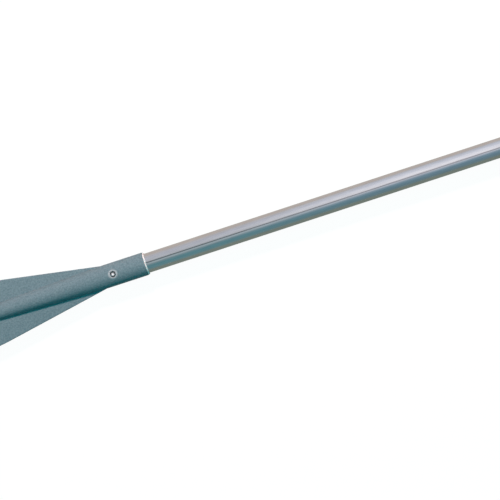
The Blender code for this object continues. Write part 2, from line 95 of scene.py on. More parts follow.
def gridFaces(rows, columns, closedRows=False, closedColumns=False):
    # quads of a grid of points; a closed direction also joins its last line to its first
    row = np.arange(rows if closedRows else rows - 1)[:, None]
    column = np.arange(columns if closedColumns else columns - 1)[None, :]
    nextRow = (row + 1) % rows
    nextColumn = (column + 1) % columns
    corners = [row * columns + column, row * columns + nextColumn,
               nextRow * columns + nextColumn, nextRow * columns + column]
    return np.stack(corners, axis=-1).reshape(-1, 4)


def unit(rows):
    return rows / np.linalg.norm(rows, axis=-1, keepdims=True)


def turnAngles(steps):
    return np.linspace(0, 2 * np.pi, steps, endpoint=False)


def roundCorners(corners, radii, steps, closed=True):
    # each corner becomes an arc that touches both of its sides: its centre lies on the corner's bisector,
    # and its points swing evenly from one touching point to the other; an open line keeps its two ends
    corners = np.array(corners, float)
    radii = np.maximum(np.broadcast_to(np.array(radii, float), len(corners)), leastRadius)[:, None]
    toBefore = unit(np.roll(corners, 1, axis=0) - corners)
    toAfter = unit(np.roll(corners, -1, axis=0) - corners)
    half = np.arccos(np.clip((toBefore * toAfter).sum(axis=1), -1, 1))[:, None] / 2
    centres = corners + unit(toBefore + toAfter) * radii / np.sin(half)
    start = (corners + toBefore * radii / np.tan(half) - centres)[:, None]
    end = (corners + toAfter * radii / np.tan(half) - centres)[:, None]
    swing = (np.pi - 2 * half)[:, None]
    share = np.linspace(0, 1, steps + 1)[None, :, None]
    arcs = (np.sin((1 - share) * swing) * start + np.sin(share * swing) * end) / np.sin(swing)
    points = centres[:, None] + arcs
    if closed:
        return points.reshape(-1, 2)
    return np.vstack([corners[:1], points[1:-1].reshape(-1, 2), corners[-1:]])


def turnedSurface(radii, heights, steps, centre=axisPoint, along=alongOar, across=acrossOar, closed=False):
    # a profile swept round an axis: centre + along * height + radius * (across * cos turn + sideways * sin
    # turn); the radius may also differ from turn to turn
    turn = turnAngles(steps)
    sideways = np.cross(along, across)
    ring = np.cos(turn)[:, None] * across + np.sin(turn)[:, None] * sideways
    radii = np.broadcast_to(np.array(radii, float).reshape(len(heights), -1), (len(heights), steps))
    points = centre + np.array(heights, float)[:, None, None] * along + radii[..., None] * ring
    return points, gridFaces(len(heights), steps, closed, True)


def turnedProfile(profile, steps, **place):
    # a profile of (radius, height) rows, swept round an axis
    return turnedSurface(profile[:, 0], profile[:, 1], steps, **place)


def cylinderSurface(radius, low, high, steps, **place):
    # a plain cylinder from one height to another, to cut a round hole with
    return turnedProfile(np.array([(0, high), (radius, high), (radius, low), (0, low)]), steps, **place)


def sectionAlongPath(path, sideways, upward, radius, sides, closed):
    # a round section carried along a path: point + radius * (sideways * cos turn + upward * sin turn);
    # an open path ends in flat caps, because its first and last sections shrink to a point
    if not closed:
        path, sideways, upward = [np.concatenate([a[:1], a, a[-1:]]) for a in (path, sideways, upward)]
    reach = np.full(len(path), radius)
    if not closed:
        reach[[0, -1]] = 0
    turn = turnAngles(sides)
    ring = np.cos(turn)[None, :, None] * sideways[:, None] + np.sin(turn)[None, :, None] * upward[:, None]
    return path[:, None] + reach[:, None, None] * ring, gridFaces(len(path), sides, closed, True)


def edgeSection(edge, halfHeight, steps):
    # (inset, height) rows over a plate's edge: a quarter circle at the upper face, mirrored at the lower one
    turn = np.linspace(0, np.pi / 2, steps + 1)
    inset = edge * (1 - np.sin(turn))
    height = halfHeight - edge * (1 - np.cos(turn))
    return np.stack([np.concatenate([inset, inset[::-1]]), np.concatenate([height, -height[::-1]])], axis=1)


def plateSurface(outline, section, middle, centre, first, second, third):
    # an edge section of (inset, height) rows carried round a closed outline, counter-clockwise; both faces
    # close because they run in to the middle points
    ahead = unit(np.roll(outline, -1, axis=0) - outline)
    direction = unit(ahead + np.roll(ahead, 1, axis=0))
    inward = np.stack([-direction[:, 1], direction[:, 0]], axis=1)
    rows = outline[None] + inward[None] * section[:, :1, None]
    rows = np.concatenate([middle[None], rows, middle[None]])
    heights = np.concatenate([section[:1, 1], section[:, 1], section[-1:, 1]])[:, None, None]
    points = centre + rows[..., :1] * first + rows[..., 1:] * second + heights * third
    return points, gridFaces(len(rows), len(outline), False, True)


def blockSurface(size, centre, edge, steps=5, cornerShare=1.4):
    # a block with rounded edges: a quarter circle of insets carried round a rounded rectangle
    halfY, halfZ = size[1] / 2, size[2] / 2
    corners = [(-halfY, -halfZ), (halfY, -halfZ), (halfY, halfZ), (-halfY, halfZ)]
    outline = roundCorners(corners, edge * cornerShare, steps)
    section = edgeSection(edge, size[0] / 2, steps)
    middle = np.zeros_like(outline)
    return plateSurface(outline, section, middle, np.array(centre), acrossOar, upwards, alongOar)


def placeObject(name, data):
    made = bpy.data.objects.new(name, data)
    bpy.context.scene.collection.objects.link(made)
    return made


def surfaceMesh(name, points, faces):
    mesh = bpy.data.meshes.new(name)
    mesh.from_pydata(points.reshape(-1, 3).tolist(), [], faces.tolist())
    return mesh


def closeShell(mesh):
    # joins the points that meet at poles and seams, and turns the faces outwards
    shape = bmesh.new()
    shape.from_mesh(mesh)
    bmesh.ops.remove_doubles(shape, verts=shape.verts, dist=mergeDistance)
    bmesh.ops.dissolve_degenerate(shape, edges=shape.edges, dist=mergeDistance)
    bmesh.ops.recalc_face_normals(shape, faces=shape.faces)
    shape.to_mesh(mesh)
    shape.free()


def addPiece(name, surface):
    mesh = surfaceMesh(name, *surface)
    closeShell(mesh)
    return placeObject(name, mesh)


def bakeModifiers(piece):
    graph = bpy.context.evaluated_depsgraph_get()
    mesh = bpy.data.meshes.new_from_object(piece.evaluated_get(graph))
    mesh.name = piece.name
    piece.modifiers.clear()
    piece.data = mesh


def carve(piece, *tools):
    # joins or cuts the piece with each tool in turn, and keeps the result as its own mesh
    for operation, tool in tools:
        step = piece.modifiers.new(tool.name, "BOOLEAN")
        step.operation = operation
        step.object = tool
        step.solver = "EXACT"
    bakeModifiers(piece)
    for _, tool in tools:
        bpy.data.objects.remove(tool, do_unlink=True)


def finishPiece(piece, finish, body, node, sharpAngle=32):
    # gives the piece its finish and the body it rides on, and hides the imported node that it stands for
    piece.data.materials.clear()
    piece.data.materials.append(materials[finish])
    piece.data.shade_smooth()
    piece.data.set_sharp_from_angle(angle=math.radians(sharpAngle))
    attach(piece, body)
    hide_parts(node)


def feedNode(tree, node, inputs):
    # each input gets either a value or the output of another node
    for socket, value in inputs.items():
        if isinstance(value, bpy.types.NodeSocket):
            tree.links.new(value, node.inputs[socket])
        else:
            node.inputs[socket].default_value = value


def addNode(tree, kind, inputs=None, **settings):
    node = tree.nodes.new(kind)
    for key, value in settings.items():
        setattr(node, key, value)
    feedNode(tree, node, inputs or {})
    return node


def objectPlace(tree):
    # where a point lies in the object's own coordinates, in metres
    return addNode(tree, "ShaderNodeTexCoord").outputs["Object"]


def calculate(tree, operation, *inputs):
    return addNode(tree, "ShaderNodeMath", dict(enumerate(inputs)), operation=operation).outputs["Value"]


def moveRange(tree, value, fromLow, fromHigh, toLow=0.0, toHigh=1.0, **settings):
    # moves a value from one range to another, and keeps it inside the second
    ranges = {"Value": value, "From Min": fromLow, "From Max": fromHigh, "To Min": toLow, "To Max": toHigh}
    return addNode(tree, "ShaderNodeMapRange", ranges, **settings).outputs["Result"]


# Sockets of a Mix node that is set to colours
firstColour, secondColour, mixedColour = 6, 7, 2


def mixColours(tree, share, first, second):
    inputs = {"Factor": share, firstColour: first, secondColour: second}
    return addNode(tree, "ShaderNodeMix", inputs, data_type="RGBA").outputs[mixedColour]


def rampColour(tree, share, stops):
    # turns a share into a colour by (position, colour) stops
    ramp = addNode(tree, "ShaderNodeValToRGB", {"Fac": share})
    elements = ramp.color_ramp.elements
    for index, (position, colour) in enumerate(stops):
        stop = elements[index] if index < 2 else elements.new(position)
        stop.position = position
        stop.color = (*colour, 1.0)
    return ramp.outputs["Color"]


# Noise of every finish, and the stretch of it that colours and roughness use
noise = {"detail": 3.0, "roughness": 0.55, "colourStops": (0.32, 0.68), "roughnessStops": (0.3, 0.7)}


def noisePattern(tree, stretch):
    # noise over the piece; a larger stretch along an axis gives a finer pattern that way
    mapping = addNode(tree, "ShaderNodeMapping", {"Vector": objectPlace(tree), "Scale": stretch})
    pattern = {"Vector": mapping.outputs["Vector"], "Scale": 1.0, "Detail": noise["detail"],
               "Roughness": noise["roughness"]}
    return addNode(tree, "ShaderNodeTexNoise", pattern).outputs["Fac"]


def paintedLightRing(tree, colour, ring):
    # paints a highlight ring or a shade ring in: mixes another colour in by the distance from a point of the
    # piece, in metres
    ends = {0: objectPlace(tree), 1: ring["centre"]}
    distance = addNode(tree, "ShaderNodeVectorMath", ends, operation="DISTANCE").outputs["Value"]
    share = moveRange(tree, distance, 0.0, ring["reach"])
    stops = [(radius / ring["reach"], (part,) * 3) for radius, part in ring["shares"]]
    return mixColours(tree, rampColour(tree, share, stops), colour, (*ring["colour"], 1.0))


def layeredRelief(tree, layers):
    # each layer of noise raises the surface by up to its own height, in metres, over the layers before it
    below = None
    for stretch, height in layers:
        bump = {"Strength": 1.0, "Distance": height, "Height": noisePattern(tree, stretch)}
        if below:
            bump["Normal"] = below
        below = addNode(tree, "ShaderNodeBump", bump).outputs["Normal"]
    return below


def makeMaterial(name, look):
    # noise mixes the look's two colours, moves its roughness between two values and raises the surface
    made = bpy.data.materials.new(name)
    made.use_nodes = True
    tree = made.node_tree
    colourNoise, roughNoise = noisePattern(tree, look["blotches"]), noisePattern(tree, look["patches"])
    colour = rampColour(tree, colourNoise, zip(noise["colourStops"], look["colours"]))
    # a ring paints a highlight or a shade over the piece's own colour
    if "ring" in look:
        colour = paintedLightRing(tree, colour, look["ring"])
    roughness = moveRange(tree, roughNoise, *noise["roughnessStops"], *look["roughness"])
    relief = layeredRelief(tree, look["relief"])
    inputs = {**look["fixed"], "Base Color": colour, "Roughness": roughness, "Normal": relief}
    feedNode(tree, tree.nodes["Principled BSDF"], inputs)
    return made


# Finishes. Colours are linear. Blotches, patches and relief give how many cells of their noise lie in a metre
# along X, Y and Z, and a ring gives (distance, share) pairs of its colour round a point: a painted highlight
# or a painted shade.
looks = {
    "mouldedBlade": {
        "colours": [(0.123, 0.198, 0.232), (0.208, 0.291, 0.325)],
        "blotches": (460, 460, 460),
        "roughness": (0.42, 0.54),
        "patches": (260, 260, 260),
        "relief": [((90, 90, 90), 0.00005), ((950, 950, 950), 0.00007)],
        # painted highlight: a pale ring painted all round the button hole's rim, over the plastic's own
        # colour
        "ring": {"centre": (buttonX, 0, axisZ + fit["socketRadius"]), "reach": 0.01,
                 "colour": (0.45, 0.50, 0.53),
                 "shares": [(0.0, 0.0), (0.0045, 0.0), (0.0049, 1.0), (0.0063, 0.85), (0.0080, 0.0)]},
        "fixed": {"IOR": 1.48, "Specular IOR Level": 0.22},
    },
    "whiteNylon": {
        "colours": [(0.85, 0.86, 0.85), (0.90, 0.90, 0.89)],
        "blotches": (300, 300, 300),
        "roughness": (0.34, 0.44),
        "patches": (400, 400, 400),
        "relief": [((900, 900, 900), 0.00001)],
        "fixed": {"IOR": 1.53, "Subsurface Weight": 0.3, "Subsurface Scale": 0.002,
                  "Subsurface Radius": (1.0, 0.95, 0.9)},
    },
    "anodisedTube": {
        "colours": [(0.665, 0.665, 0.695), (0.765, 0.765, 0.795)],
        "blotches": (50, 650, 650),
        "roughness": (0.09, 0.15),
        "patches": (14, 1100, 1100),
        "relief": [((20, 1600, 1600), 0.0000006), ((160, 160, 160), 0.000001)],
        "fixed": {"Metallic": 1.0},
    },
    "darkMoulding": {
        "colours": [(0.026, 0.031, 0.040), (0.036, 0.041, 0.052)],
        "blotches": (120, 120, 120),
        "roughness": (0.42, 0.54),
        "patches": (260, 260, 260),
        "relief": [((110, 110, 110), 0.00005), ((1500, 1500, 1500), 0.00003)],
        "fixed": {"IOR": 1.5},
    },
    "polishedNickel": {
        "colours": [(0.73, 0.76, 0.78), (0.79, 0.81, 0.82)],
        "blotches": (500, 500, 500),
        "roughness": (0.07, 0.13),
        "patches": (900, 900, 900),
        "relief": [((1800, 1800, 1800), 0.000002)],
        # painted shade: a near-black ring painted over the button's rounded edge and round it, for the shaded
        # gap and the edge's dark reflection
        "ring": {"centre": (buttonX, 0, buttonHigh.z), "reach": 0.01, "colour": (0.03, 0.032, 0.035),
                 "shares": [(0.0, 0.0), (0.0027, 0.0), (0.0030, 1.0), (0.0044, 1.0), (0.0060, 0.5)]},
        "fixed": {"Metallic": 1.0},
    },
    "springWire": {
        "colours": [(0.44, 0.44, 0.45), (0.54, 0.54, 0.54)],
        "blotches": (900, 900, 900),
        "roughness": (0.22, 0.34),
        "patches": (1500, 1500, 1500),
        "relief": [((2500, 2500, 2500), 0.000004)],
        "fixed": {"Metallic": 1.0},
    },
    "greyFoam": {
        "colours": [(0.15, 0.15, 0.16), (0.25, 0.25, 0.26)],
        "blotches": (900, 900, 900),
        "roughness": (0.85, 0.97),
        "patches": (500, 500, 500),
        "relief": [((1100, 1100, 1100), 0.0003)],
        "fixed": {"Sheen Weight": 0.15},
    },
    "ribbedRubber": {
        "colours": [(0.042, 0.046, 0.050), (0.058, 0.063, 0.068)],
        "blotches": (150, 150, 150),
        "roughness": (0.58, 0.72),
        "patches": (300, 300, 300),
        "relief": [((1900, 1900, 1900), 0.00008), ((140, 140, 140), 0.00006)],
        "fixed": {"IOR": 1.45},
    },
    "turnedStainless": {
        "colours": [(0.58, 0.58, 0.57), (0.66, 0.66, 0.65)],
        "blotches": (1200, 300, 1200),
        "roughness": (0.20, 0.30),
        "patches": (2200, 400, 2200),
        "relief": [((2400, 500, 2400), 0.000004)],
        "fixed": {"Metallic": 1.0},
    },
}
materials = {name: makeMaterial(name, look) for name, look in looks.items()}
print("finishes made:", len(materials))

# Blade: socket and spine, wings with a raised bead outline, bore and button hole.
# "Reach" runs from the socket's mouth towards the blade's tip.
blade = {
    "socketStraight": 0.062,
    "socketBend": 0.4,  # radius of the soft bend from socket to spine
    "spineEnd": 0.455,
    "spineEndRadius": 0.0057,
    "spineTip": 0.98,  # the spine's round end, as shares of its end radius
    "spineTipRound": 0.9,
    "spineTipFlare": 0.0002,
    "spineSides": 112,
    "mouthEdge": 0.0005,
    "wingThickness": 0.004,
    "wingEdge": 0.0014,
    "wingMiddle": 0.03,  # how far inside the tip the wing's two faces close
    "wingRoot": (0.050, 0.0148),  # reach and half width
    "wingShoulder": (0.252, 0.0513),
    "shoulderRound": 0.350,
    "tipHalf": 0.0592,
    "tipCorner": 0.026,
    "tipBulge": 0.008,
    "tipPoints": 41,
    "beadRadius": 0.0028,
    "beadSides": 24,
    "beadReach": (0.252, 0.430),
    "beadInner": (0.033, 0.042),
    "beadWidth": 0.0105,
    "beadCorner": 0.004,
    "counterbore": (0.0166, 0.0203),  # radius and depth
    "boreDepth": 0.0603,
    "boreStart": 0.002,  # how far outside the mouth the bore's cutter starts
    "hollowEnd": 0.330,
    "spineWall": 0.0045,
    "buttonHole": 0.0048,
    "holeCut": (0.5, 1.5),  # the hole's cutter, as shares of the socket's radius
    "holeSides": 64,
    "rimWire": 0.0009,
    "rimRadius": 0.0058,
    "rimSink": 0.55,  # how deep the rim lies in the socket, as a share of its wire
    "rimPoints": 96,
    "rimSides": 16,
}


def spineRadiusAt(reach):
    # the spine narrows evenly from the end of the round socket
    share = (reach - blade["socketStraight"]) / (blade["spineEnd"] - blade["socketStraight"])
    return fit["socketRadius"] + (blade["spineEndRadius"] - fit["socketRadius"]) * share


def spineSurface():
    # a profile turned round the oar's axis: straight socket, soft bend, even taper and a rounded tip
    radius, endRadius = fit["socketRadius"], blade["spineEndRadius"]
    tip = mouthX - blade["spineEnd"] - endRadius * blade["spineTip"]
    corners = [(0, mouthX), (radius, mouthX), (radius, mouthX - blade["socketStraight"]),
               (endRadius + blade["spineTipFlare"], tip), (0, tip)]
    rounds = [0, blade["mouthEdge"], blade["socketBend"], endRadius * blade["spineTipRound"], 0]
    return turnedProfile(roundCorners(corners, rounds, steps=10, closed=False), blade["spineSides"])


def wingOutline():
    # one side runs from the root over the rounded shoulder to the rounded tip corner, the other mirrors it,
    # and the tip edge between them bows out with the square of the distance from the axis
    length = mouthX - tipX
    half, bulge = blade["tipHalf"], blade["tipBulge"]
    flatHalf = half - blade["tipCorner"]
    rootReach, rootHalf = blade["wingRoot"]
    bowStart = (-length + bulge * (flatHalf / half) ** 2, flatHalf)
    corners = [(-rootReach, rootHalf), (-blade["wingShoulder"][0], blade["wingShoulder"][1]),
               (-length + bulge, half), bowStart]
    rounds = [0, blade["shoulderRound"], blade["tipCorner"], 0]
    side = roundCorners(corners, rounds, steps=20, closed=False)
    across = np.linspace(flatHalf, -flatHalf, blade["tipPoints"])[1:-1]
    bow = np.stack([-length + bulge * (across / half) ** 2, across], axis=1)
    mirrored = side[::-1] * [1, -1]
    return np.vstack([side, bow, mirrored]) + [mouthX, 0]


def wingSurface():
    # a flat plate of both wings: a rounded edge carried round the outline, closed along the oar's axis
    outline = wingOutline()
    section = edgeSection(blade["wingEdge"], blade["wingThickness"] / 2, steps=6)
    inside = np.clip(outline[:, 0], tipX + blade["wingMiddle"], None)
    middle = np.stack([inside, np.zeros(len(outline))], axis=1)
    return plateSurface(outline, section, middle, axisPoint, alongOar, acrossOar, upwards)


def beadSurface(side):
    # a round section carried round a loop of four sides and round corners, half sunk in the wing
    near, far = (mouthX - reach for reach in blade["beadReach"])
    innerNear, innerFar = blade["beadInner"]
    width = blade["beadWidth"]
    corners = [(near, innerNear), (near, innerNear + width), (far, innerFar + width), (far, innerFar)]
    loop = roundCorners(corners, blade["beadCorner"], steps=8) * [1, side]
    ahead = unit(np.roll(loop, -1, axis=0) - np.roll(loop, 1, axis=0))
    path = np.column_stack([loop, np.full(len(loop), axisZ)])
    sideways = np.column_stack([-ahead[:, 1], ahead[:, 0], np.zeros(len(loop))])
    upward = np.tile(upwards, (len(loop), 1))
    return sectionAlongPath(path, sideways, upward, blade["beadRadius"], blade["beadSides"], True)


def boreSurface():
    # steps for liner and tube, turned round the oar's axis, then a cone that keeps inside the spine
    bore, wall = fit["bore"], blade["spineWall"]
    wide, wideDepth = blade["counterbore"]
    start = mouthX + blade["boreStart"]
    step, seat, end = (mouthX - reach for reach in (wideDepth, blade["boreDepth"], blade["hollowEnd"]))
    profile = [
        (0, start), (wide, start), (wide, step), (bore, step), (bore, seat),
        (spineRadiusAt(blade["socketStraight"]) - wall, seat),
        (spineRadiusAt(blade["hollowEnd"]) - wall, end), (0, end),
    ]
    return turnedProfile(np.array(profile), blade["spineSides"])


def rimSurface():
    # a round wire that follows the hole's edge over the socket: its height is that of the socket's own circle
    turn = turnAngles(blade["rimPoints"])
    radius = blade["rimRadius"]
    x = buttonX + radius * np.cos(turn)
    y = radius * np.sin(turn)
    z = axisZ + np.sqrt(fit["socketRadius"] ** 2 - y ** 2) - blade["rimWire"] * blade["rimSink"]
    path = np.stack([x, y, z], axis=1)
    sideways = np.stack([np.cos(turn), np.sin(turn), np.zeros(len(turn))], axis=1)
    upward = np.tile(upwards, (len(turn), 1))
    return sectionAlongPath(path, sideways, upward, blade["rimWire"], blade["rimSides"], True)


holeLow, holeHigh = (fit["socketRadius"] * share for share in blade["holeCut"])
buttonHole = cylinderSurface(blade["buttonHole"], holeLow, holeHigh, blade["holeSides"], **onButton)
bladePiece = addPiece("bladeMoulding", spineSurface())
carve(
    bladePiece,
    ("UNION", addPiece("wingPlate", wingSurface())),
    ("UNION", addPiece("beadLeft", beadSurface(side=1))),
    ("UNION", addPiece("beadRight", beadSurface(side=-1))),
    ("UNION", addPiece("holeRim", rimSurface())),
    ("DIFFERENCE", addPiece("socketBore", boreSurface())),
    ("DIFFERENCE", addPiece("buttonHole", buttonHole)),
)
finishPiece(bladePiece, "mouldedBlade", "blade", "blade")
print("blade made:", len(bladePiece.data.polygons), "faces")

# Liner in the socket's mouth
liner = {"wall": 0.001, "lip": 0.001, "length": 0.020, "flange": 0.002, "edge": 0.0003, "frontRound": 0.0005,
         "boreRound": 0.0001, "sides": 112}


def linerSurface():
    # a closed profile turned round the oar's axis: a thin sleeve with a flange outside the mouth
    bore = fit["bore"]
    outer = bore + liner["wall"]
    rim = outer + liner["lip"]
    face = mouthX + fit["gap"]
    front, back = face + liner["flange"], mouthX - liner["length"]
    edge = liner["edge"]
    corners = [(rim, front), (rim, face), (outer, face), (outer, back), (bore, back), (bore, front)]
    rounds = [liner["frontRound"], edge, 0, edge, liner["boreRound"], edge]
    return turnedProfile(roundCorners(corners, rounds, steps=5), liner["sides"], closed=True)


finishPiece(addPiece("mouthLiner", linerSurface()), "whiteNylon", "blade", "socket_liner")

# Shaft tube with its button hole
tube = {
    "wall": 0.0015,
    "endRound": 0.0004,
    "endSteps": 4,
    "sides": 128,
    "rows": (-0.25, 0.7, 20),  # first, last and number of the rows across both walls
    "rowsAtHole": (-0.0065, 0.007),
    "holeCut": (0.007, 0.02),  # the hole's cutter, in heights above the axis
    "holeSides": 48,
}


def tubeSurface():
    # a closed profile turned round the oar's axis: two straight walls that rounded ends join; both have rows
    # close to the button hole, so that cutting it leaves the rest of the tube even
    inner = tubeRadius - tube["wall"]
    corners = [(tubeRadius, tubeHigh.x), (tubeRadius, tubeLow.x), (inner, tubeLow.x), (inner, tubeHigh.x)]
    ring = roundCorners(corners, tube["endRound"], tube["endSteps"])
    onCorner = tube["endSteps"] + 1
    outerEnd, lowEnd, innerEnd = np.split(ring, [onCorner, 3 * onCorner])
    rows = np.sort(np.concatenate([buttonX + np.array(tube["rowsAtHole"]), np.linspace(*tube["rows"])]))
    outerRows = np.stack([np.full(len(rows), tubeRadius), rows[::-1]], axis=1)
    innerRows = np.stack([np.full(len(rows), inner), rows], axis=1)
    profile = np.vstack([outerEnd, outerRows, lowEnd, innerRows, innerEnd])
    return turnedProfile(profile, tube["sides"], closed=True)


tubeHole = cylinderSurface(fit["buttonRadius"] + fit["gap"], *tube["holeCut"], tube["holeSides"], **onButton)
tubePiece = addPiece("shaftTube", tubeSurface())
carve(tubePiece, ("DIFFERENCE", addPiece("tubeHole", tubeHole)))
finishPiece(tubePiece, "anodisedTube", "shaft", "shaft_tube")
print("tube and liner made")

# Plug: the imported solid's own form with softened edges
plug = {"edge": 0.00015, "segments": 2, "sharpAngle": 50}
plugMesh = nodes["shaft_plug"].data.copy()
closeShell(plugMesh)
plugPiece = placeObject("shaftPlug", plugMesh)
softEdges = plugPiece.modifiers.new("softEdges", "BEVEL")
softEdges.width = plug["edge"]
softEdges.segments = plug["segments"]
softEdges.limit_method = "ANGLE"
softEdges.angle_limit = math.radians(plug["sharpAngle"])
bakeModifiers(plugPiece)
finishPiece(plugPiece, "darkMoulding", "shaft", "shaft_plug")

# Snap button. Its heights are from the oar's axis.
button = {"top": 0.0184, "dome": 0.00008, "round": 0.0012, "neckRound": 0.0001, "flange": 0.0049,
          "flangeHigh": 0.01228, "flangeLow": 0.01078, "flangeRound": 0.0002, "stem": 0.0020,
          "stemLow": 0.00478, "stemRound": 0.0003, "sides": 72}


def buttonSurface():
    # a profile turned round the button's line of travel: domed head, flange inside the tube, and stem
    radius, flange, stem = fit["buttonRadius"], button["flange"], button["stem"]
    flangeHigh, flangeLow, stemLow = button["flangeHigh"], button["flangeLow"], button["stemLow"]
    corners = [(0, button["top"]), (radius, button["top"] - button["dome"]), (radius, flangeHigh),
               (flange, flangeHigh), (flange, flangeLow), (stem, flangeLow), (stem, stemLow), (0, stemLow)]
    rounds = [0, button["round"], button["neckRound"], button["flangeRound"], button["flangeRound"],
              button["stemRound"], button["stemRound"], 0]
    return turnedProfile(roundCorners(corners, rounds, steps=8, closed=False), button["sides"], **onButton)


finishPiece(addPiece("snapButton", buttonSurface()), "polishedNickel", "button",
            "snap_button")

# Button spring: a coil with closed ends. Its heights are from the oar's axis.
spring = {"wire": 0.00035, "radius": 0.00455, "turns": 7, "low": -0.00735, "high": 0.01013, "floor": -0.0077,
          "travel": 0.0036, "deadTurn": 0.75, "deadRise": 0.35, "stepsATurn": 36, "sides": 12}


def springSurface():
    # a helix that rises more slowly at both ends, so that its first and last turns lie nearly flat
    turn = np.linspace(0, 2 * np.pi * spring["turns"], spring["turns"] * spring["stepsATurn"] + 1)
    share = turn / turn[-1]
    dead = spring["deadTurn"] / spring["turns"]
    deadRise = dead * spring["deadRise"]
    rise = np.interp(share, [0, dead, 1 - dead, 1], [0, deadRise, 1 - deadRise, 1])
    outward = np.stack([np.cos(turn), np.sin(turn), np.zeros(len(turn))], axis=1)
    path = outward * spring["radius"] + alongOar * buttonX
    path[:, 2] = axisZ + spring["low"] + (spring["high"] - spring["low"]) * rise
    ahead = unit(np.gradient(path, axis=0))
    return sectionAlongPath(path, outward, np.cross(ahead, outward), spring["wire"], spring["sides"], False)


springPiece = addPiece("buttonSpring", springSurface())
finishPiece(springPiece, "springWire", "shaft", "button_spring")
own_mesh(springPiece)
print("plug, button and spring made")

# Foam bungs stay as packed, with a foam finish
for name in ("lower_bung", "upper_bung"):
    nodes[name].data.materials.clear()
    nodes[name].data.materials.append(materials["greyFoam"])

# Grip sleeve with rounded ribs and a guard at its inner end
grip = {
    "wall": 0.0022,
    "length": 0.125,
    "edge": 0.0006,
    "rows": 260,
    "sides": 96,
    "ribs": 10,
    "ribHeight": 0.0009,
    "ribHalf": 0.36,  # half a rib and its slope, as shares of the ribs' pitch
    "ribSlope": 0.20,
    "guard": 0.0035,
    "guardLength": 0.008,
    "guardRound": 0.0012,
    "guardTop": (0.22, 0.74),  # the guard's top, the first row and the first rib, as shares of its length
    "firstRow": 1.05,
    "firstRib": 1.5,
}


def gripSurface():
    # the radius is the sleeve's own, plus a smooth rise over each rib, plus the guard's rounded ring
    high = tubeHigh.x
    low = high - grip["length"]
    base = fit["bore"] + grip["wall"]
    long = grip["guardLength"]
    ribsLow = low + long * grip["firstRib"]
    pitch = (high - long / 2 - ribsLow) / grip["ribs"]
    x = np.linspace(low + long * grip["firstRow"], high - grip["edge"], grip["rows"])
    fromRib = np.abs((x - ribsLow) / pitch % 1 - 0.5)
    rise = np.clip((grip["ribHalf"] - fromRib) / grip["ribSlope"], 0, 1) * (x > ribsLow)
    ribs = np.stack([base + grip["ribHeight"] * rise ** 2 * (3 - 2 * rise), x], axis=1)
    top = base + grip["guard"]
    topLow, topHigh = (low + long * share for share in grip["guardTop"])
    guard = roundCorners([(base, low), (top, topLow), (top, topHigh), (base, low + long)],
                         [0, grip["guardRound"], grip["guardRound"], 0], steps=8, closed=False)
    inside = [(base - grip["edge"] / 2, high), (fit["bore"], high), (fit["bore"], low)]
    return turnedProfile(np.vstack([guard, ribs, inside]), grip["sides"], closed=True)


finishPiece(addPiece("gripSleeve", gripSurface()), "ribbedRubber", "shaft", "grip_sleeve")

# End cap with a shallow dish, on a spigot inside the tube
cap = {"length": 0.006, "round": 0.0025, "edge": 0.0003, "spigot": 0.0217, "spigotRadius": 0.0132,
       "seatRound": 0.0001, "spigotRound": 0.0006, "dish": 0.0103, "dishDepth": 0.0005, "dishSlope": 0.0004,
       "sides": 96}


def capSurface():
    # a profile turned round the oar's axis: dish, rounded cap and spigot
    end = cadBounds[1][0]
    radius = fit["bore"] + grip["wall"] + grip["ribHeight"]
    spigotRadius, edge = cap["spigotRadius"], cap["edge"]
    dishEnd, seat, spigotEnd = end - cap["dishDepth"], end - cap["length"], tubeHigh.x - cap["spigot"]
    corners = [(0, dishEnd), (cap["dish"], dishEnd), (cap["dish"] + cap["dishSlope"], end), (radius, end),
               (radius, seat), (spigotRadius, seat), (spigotRadius, spigotEnd), (0, spigotEnd)]
    rounds = [0, edge, edge, cap["round"], edge, cap["seatRound"], cap["spigotRound"], 0]
    return turnedProfile(roundCorners(corners, rounds, steps=7, closed=False), cap["sides"])


finishPiece(addPiece("gripCap", capSurface()), "darkMoulding", "shaft", "grip_cap")
print("grip made")

# Rowlock collar: sleeve, thrust flange and slit clamp with two lugs
collar = {
    "sleeveWall": 0.0028,
    "sleeveLength": 0.065,
    "flangeRadius": 0.029,
    "flange": 0.009,
    "flangeRound": 0.0022,
    "clampWall": 0.005,
    "edge": 0.0008,
    "clampFillet": 0.001,
    "sleeveFillet": 0.0006,
    "boreRound": 0.0004,
    "sides": 144,
    "lugWidth": 0.008,
    "lugLength": 0.014,
    "lugTop": 0.027,
    "lugRound": 0.0011,
    "slit": 0.003,
    "slitCut": (0.11, 0.029),  # length and height of the block that cuts the slit
    "slitBack": 0.02,
    "slitLift": 0.0218,
    "screwHole": 0.0028,
    "holeHalf": 0.02,
    "holeSides": 48,
}
collarLow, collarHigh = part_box("rowlock_collar")
faceX = collarLow.x + collar["sleeveLength"]
clampHighX = collarHigh.x
lugX = clampHighX - collar["lugLength"] / 2
lugSide = collar["slit"] / 2 + collar["lugWidth"]
lugLow = fit["bore"] + collar["clampWall"] / 2
screwLift = (collar["lugTop"] + fit["bore"] + collar["clampWall"]) / 2
screwPoint = axisPoint + alongOar * lugX + upwards * screwLift
onScrew = {"centre": screwPoint, "along": -acrossOar, "across": alongOar}


def collarSurface():
    # a closed profile turned round the oar's axis: clamp, flange, sleeve and the bore through them
    bore, rim, edge = fit["bore"], collar["flangeRadius"], collar["edge"]
    sleeve, clamp = bore + collar["sleeveWall"], bore + collar["clampWall"]
    flangeHigh = faceX + collar["flange"]
    corners = [(clamp, clampHighX), (clamp, flangeHigh), (rim, flangeHigh), (rim, faceX), (sleeve, faceX),
               (sleeve, collarLow.x), (bore, collarLow.x), (bore, clampHighX)]
    rounds = [edge, collar["clampFillet"], collar["flangeRound"], collar["flangeRound"],
              collar["sleeveFillet"], edge, collar["boreRound"], collar["boreRound"]]
    return turnedProfile(roundCorners(corners, rounds, steps=7), collar["sides"], closed=True)


